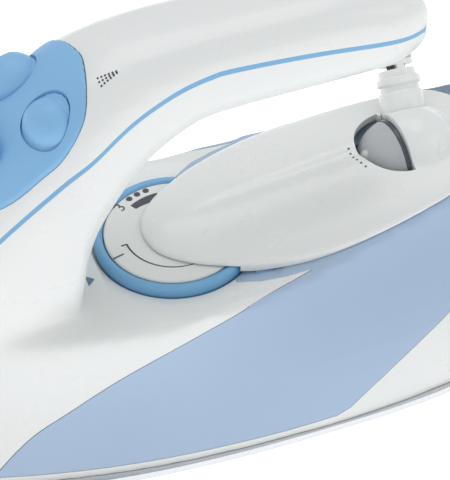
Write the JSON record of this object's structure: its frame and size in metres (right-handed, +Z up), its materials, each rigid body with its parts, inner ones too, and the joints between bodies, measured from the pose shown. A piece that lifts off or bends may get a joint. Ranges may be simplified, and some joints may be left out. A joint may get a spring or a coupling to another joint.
{
  "type": "clothes iron",
  "caption": "Steam iron with open-ended handle, thumb keypad, temperature dial under the grip, tinted water tank, indicator window and a swivelling cord with plug.",
  "frame": {"origin": "centre of the iron's footprint at the underside of the soleplate, without the cord", "axes": "+X towards the heel, -X towards the nose, +Z up, -Y towards the side that the picture shows"},
  "size_m": [0.4033, 0.1902, 0.1528],
  "materials": {
    "white_plastic": "glossy white ABS",
    "tank_blue": "frosted blue translucent water tank",
    "sky_blue": "satin sky blue plastic",
    "keypad_blue": "soft-touch blue elastomer",
    "seal_grey": "silicone seal",
    "cast_aluminium": "die-cast and polished aluminium",
    "steel": "bright steel",
    "brass": "brass",
    "smoked_lens": "smoked transparent plastic",
    "lamp": "LED body",
    "board_green": "circuit board",
    "inner_grey": "grey inner moulding",
    "clear_hose": "silicone hose",
    "feet_grey": "heel foot rubber",
    "cord_braid": "navy and beige textile braid",
    "plug_grey": "moulded plug"
  },
  "bodies": {
    "root": {"auto_off_board": "board_green", "board_carrier": "inner_grey", "chamber_cover": "steel", "chamber_gasket": "seal_grey", "click_ring": "inner_grey", "cord_coil": "cord_braid", "cord_lead": "cord_braid", "cord_tail": "cord_braid", "cord_tie": "feet_grey", "door_pin": "steel", "drip_valve": "brass", "element_terminals": "brass", "fill_funnel": "inner_grey", "handle_lower": "white_plastic", "handle_trim": "sky_blue", "handle_upper": "white_plastic", "heating_block": "cast_aluminium", "heating_element": "steel", "heel_feet": "feet_grey", "indicator_lamp": "lamp", "indicator_lens": "smoked_lens", "keypad": "keypad_blue", "platform_cover": "white_plastic", "platform_gasket": "seal_grey", "plug_body": "plug_grey", "plug_pins": "brass", "pump_bracket": "inner_grey", "rear_cover": "white_plastic", "rear_screws": "steel", "shot_pump_body": "inner_grey", "shot_spring": "steel", "skirt": "white_plastic", "skirt_screws": "steel", "soleplate": "cast_aluminium", "spray_hose": "clear_hose", "spray_nozzle": "sky_blue", "spray_pump_body": "inner_grey", "spray_spring": "steel", "suction_hoses": "clear_hose", "swivel_housing": "white_plastic", "tank_stem_seal": "seal_grey", "terminal_block": "inner_grey", "thermal_fuse": "brass", "thermostat": "steel", "upper_shell": "white_plastic", "water_tank": "tank_blue"},
    "dial": {"dial_ring": "sky_blue", "dial_face": "white_plastic", "dial_shaft": "steel"},
    "spray_key": {"spray_button": "keypad_blue", "spray_piston": "inner_grey"},
    "shot_key": {"shot_button": "keypad_blue", "shot_piston": "inner_grey"},
    "steam_control": {"steam_slider": "keypad_blue"},
    "steam_valve": {"valve_rod": "steel"},
    "fill_lid": {"fill_door": "tank_blue"},
    "cord_swivel": {"swivel_ball": "white_plastic", "strain_relief": "white_plastic"}
  },
  "joints": [
    {"name": "dial_turn", "type": "hinge", "parent": "root", "child": "dial", "pos_m": [0, 0, 0.06], "axis": [0, 0, 1], "range_deg": [-285, 0]},
    {"name": "spray_press", "type": "slide", "parent": "root", "child": "spray_key", "axis": [0, 0, -1], "range_m": [0, 0.004], "stiffness_N_per_m": 500, "springref_m": -0.002, "deforming": ["spray_spring"]},
    {"name": "shot_press", "type": "slide", "parent": "root", "child": "shot_key", "axis": [0, 0, -1], "range_m": [0, 0.004], "stiffness_N_per_m": 500, "springref_m": -0.002, "deforming": ["shot_spring"]},
    {"name": "steam_slide", "type": "slide", "parent": "root", "child": "steam_control", "axis": [0.6247, 0, 0.7809], "range_m": [0, 0.008]},
    {"name": "valve_lift", "type": "slide", "parent": "root", "child": "steam_valve", "axis": [0, 0, 1], "range_m": [0, 0.0012]},
    {"name": "fill_door_hinge", "type": "hinge", "parent": "root", "child": "fill_lid", "pos_m": [-0.08888, 0, 0.09119], "axis": [0, 1, 0], "range_deg": [0, 95]},
    {"name": "cord_turn", "type": "hinge", "parent": "root", "child": "cord_swivel", "pos_m": [0.091, 0, 0.067], "axis": [0.094, 0.7169, 0.6909], "range_deg": [-180, 180]}
  ],
  "couplings": [
    {"joint": "valve_lift", "follows": "steam_slide", "ratio": 0.15}
  ]
}
